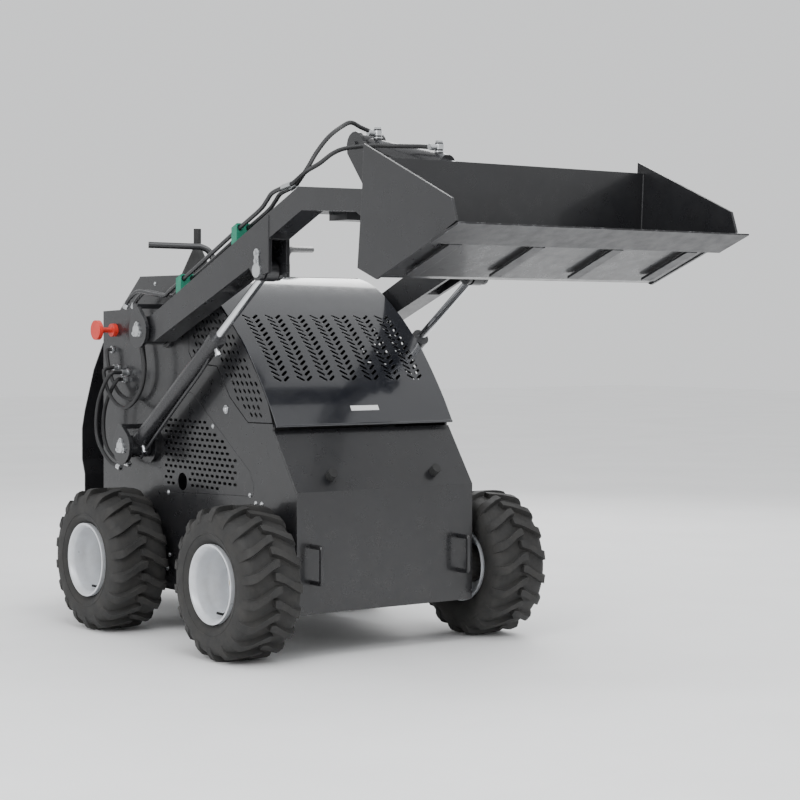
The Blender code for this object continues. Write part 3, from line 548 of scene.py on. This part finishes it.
# ---------------------------------------------------------------- lines, handles, bars
ARM_PIPE = [(0.774, 1.055), (0.752, 1.073), (0.699, 1.093), (0.615, 1.086), (0.530, 1.079), (0.489, 1.096), (0.336, 1.162), (0.100, 1.268), (-0.027, 1.323), (-0.066, 1.349), (-0.095, 1.370), (-0.151, 1.383)]
TILT_LINES = (
    ("tilt_line_rear", -0.372, [(-0.374, -0.182, 1.393), (-0.362, -0.219, 1.437), (-0.320, -0.205, 1.486), (-0.250, -0.166, 1.538), (-0.150, -0.092, 1.580), (-0.095, -0.058, 1.596), (-0.060, -0.058, 1.584), (-0.0185, -0.062, 1.5705)]),
    ("tilt_line_front", -0.402, [(-0.404, -0.200, 1.390), (-0.390, -0.255, 1.424), (-0.335, -0.240, 1.450), (-0.260, -0.200, 1.486), (-0.200, -0.180, 1.505), (-0.120, -0.185, 1.517), (-0.070, -0.214, 1.517), (-0.042, -0.264, 1.514), (-0.030, -0.320, 1.510), (-0.0185, -0.368, 1.505)]),
)


def guard(i):
    return 0.0060 + (0.0008 if i % 2 else 0.0)


for name, x, rest in TILT_LINES:
    steel = [(x, y, z) for y, z in ARM_PIPE]
    tube(name + "_steel", curve(steel, 6), 0.0066, "pipe", "loader_arm", replaces=(name,))
    tube(name + "_hose", curve([steel[-1]] + rest, 14), guard, "hose", "loader_arm")
    bm = bmesh.new()
    for a, b, r, n in ((steel[-1], rest[0], 0.0095, 6), (rest[-1], (-0.034, rest[-1][1], rest[-1][2]), 0.0088, 24)):
        cyl(bm, (a[0], a[1] + S, a[2]), (b[0], b[1] + S, b[2]), r, n)
    cyl(bm, (steel[0][0], steel[0][1] + S, steel[0][2]), (steel[0][0], steel[0][1] + 0.010 + S, steel[0][2] - 0.014), 0.0098, 6)
    put(name + "_fittings", bm, "zinc", "loader_arm")
HOSES = (
    ("supply_hose_inner", -0.355, [(0.996, 0.895), (0.982, 0.841), (0.954, 0.795), (0.906, 0.756), (0.831, 0.738), (0.784, 0.759), (0.751, 0.806), (0.750, 0.865), (0.764, 0.917), (0.777, 0.986), (0.783, 1.051)]),
    ("supply_hose_outer", -0.387, [(0.955, 0.835), (0.951, 0.806), (0.931, 0.769), (0.883, 0.730), (0.815, 0.713), (0.755, 0.734), (0.702, 0.782), (0.682, 0.847), (0.695, 0.918), (0.712, 0.986), (0.728, 1.050)]),
    ("lift_hose_upper", -0.371, [(0.905, 0.797), (0.966, 0.733), (0.990, 0.673), (0.985, 0.606), (0.950, 0.561), (0.888, 0.536), (0.812, 0.528)]),
    ("lift_hose_lower", -0.402, [(0.890, 0.820), (0.955, 0.752), (0.981, 0.684), (0.979, 0.617), (0.944, 0.569), (0.886, 0.532), (0.815, 0.517)]),
)
for name, x, line in HOSES:
    start = [(-0.3304, line[0][0], line[0][1] + 0.008), ((x - 0.329) / 2, line[0][0], line[0][1] + 0.008)]
    path = start + [(x, y, z) for y, z in line]
    tube(name + "_cover", curve(path, 16), guard, "hose", "chassis", replaces=(name,))
    bm = bmesh.new()
    a, b = Vector(path[0]), Vector(path[1])
    cyl(bm, a + Vector((0, S, 0)), a.lerp(b, 0.8) + Vector((0, S, 0)), 0.0098, 24)
    cyl(bm, a + Vector((0.0004, S, 0)), a + Vector((-0.008, S, 0)), 0.0125, 6)
    a, b = Vector(path[-1]), Vector(path[-2])
    cyl(bm, a + Vector((0, S, 0)), a.lerp(b, 0.30) + Vector((0, S, 0)), 0.0092, 24)
    put(name + "_ends", bm, "zinc", "chassis")
for tag, side in SIDES:
    x = side * 0.275
    tube(f"handle_bar_{tag}", [(x, -0.1183, 0.333), (x, -0.155, 0.333)] + [(x, -0.160 - 0.008 * math.sin(TAU / 4 * k / 5), 0.325 + 0.008 * math.cos(TAU / 4 * k / 5)) for k in range(6)] + [(x, -0.168, 0.234)] + [(x, -0.160 - 0.008 * math.cos(TAU / 4 * k / 5), 0.234 - 0.008 * math.sin(TAU / 4 * k / 5)) for k in range(1, 6)] + [(x, -0.1183, 0.226)], 0.007, "paint", "chassis", replaces=(f"front_handle_{tag}",))
    tube(f"grab_rail_{tag}", [(side * 0.322, 0.772, 1.248)] + curve([(side * 0.178, 0.684, 1.243), (side * 0.158, 0.671, 1.233), (side * 0.147, 0.663, 1.215), (side * 0.143, 0.655, 1.190)], 5) + [(side * 0.143, 0.655, 1.1453)], 0.0105, "paint", "chassis", replaces=(f"grab_bar_{tag}",))

# ---------------------------------------------------------------- welds and wear strips
for tag, side in SIDES:
    for name, pts in (
        ("bucket_weld", [(side * 0.4885, y, z) for y, z in [(-1.040, 1.2375), (-0.766, 1.1275), (-0.738, 1.1225), (-0.716, 1.130), (-0.7045, 1.148), (-0.7025, 1.175), (-0.7130, 1.4300)]]),
        ("arm_weld", [(side * 0.4245, -0.110, 1.150), (side * 0.4245, -0.110, 1.305)]),
    ):
        path = curve(pts, 18) if name == "bucket_weld" else [tuple(np.array(pts[0]) + (np.array(pts[1]) - np.array(pts[0])) * k / 30) for k in range(31)]
        tube(f"{name}_{tag}", path, lambda i: 0.0026 + (0.0006 if i % 2 else 0), "weld", "bucket" if name == "bucket_weld" else "loader_arm", n=10)
bm = bmesh.new()
for x in (-0.42, -0.14, 0.14, 0.42):
    slab(bm, [(-0.985, 1.1985), (-0.985, 1.1925), (-0.800, 1.1185), (-0.800, 1.1260)], x - 0.020, x + 0.020)
put("wear_strips", bm, "edge_steel", "bucket", 0)

# ---------------------------------------------------------------- floor, light, camera
bpy.ops.mesh.primitive_plane_add(size=40, location=(0, 0, -0.0005))
floor = bpy.context.object
floor.name = "studio_floor"
floor.data.materials.append(M["floor"])

world = bpy.data.worlds.new("studio")
bpy.context.scene.world = world
world.use_nodes = True
wn, wl = world.node_tree.nodes, world.node_tree.links
bg = wn["Background"]
tc = wn.new("ShaderNodeTexCoord")
sp = wn.new("ShaderNodeSeparateXYZ")
rp = wn.new("ShaderNodeValToRGB")
wl.new(tc.outputs["Generated"], sp.inputs[0])
wl.new(sp.outputs["Z"], rp.inputs[0])
wl.new(rp.outputs[0], bg.inputs[0])
rp.color_ramp.elements[0].position, rp.color_ramp.elements[0].color = 0.0, (0.93, 0.94, 0.95, 1)
rp.color_ramp.elements[1].position, rp.color_ramp.elements[1].color = 0.75, (0.98, 0.99, 1.0, 1)
bg.inputs[1].default_value = 1.05


def area(name, at, to, size, power, colour=(1, 1, 1)):
    light = bpy.data.lights.new(name, "AREA")
    light.size = size
    light.energy = power
    light.color = colour
    obj = bpy.data.objects.new(name, light)
    bpy.context.scene.collection.objects.link(obj)
    obj.location = at
    obj.rotation_euler = (Vector(to) - Vector(at)).to_track_quat("-Z", "Y").to_euler()


area("sky", (-0.5, -2.5, 5.5), (0, 0, 0.7), 5.0, 260, (0.96, 0.98, 1.0))
area("key", (-4.5, -2.0, 3.2), (0, 0, 0.8), 2.5, 120)
area("rim_light", (3.5, 3.0, 3.0), (0, 0, 0.9), 2.5, 80)

cam = bpy.data.cameras.new("camera")
cam.lens, cam.sensor_width = 91.42, 36
eye = bpy.data.objects.new("camera", cam)
bpy.context.scene.collection.objects.link(eye)
eye.matrix_world = Matrix.Translation((-3.6278, -5.2712, 0.9854)) @ Matrix.Rotation(math.radians(-36.5277), 4, "Z") @ Matrix.Rotation(math.radians(90 - 2.0877), 4, "X") @ Matrix.Rotation(math.radians(0.1984), 4, "Z")
bpy.context.scene.camera = eye
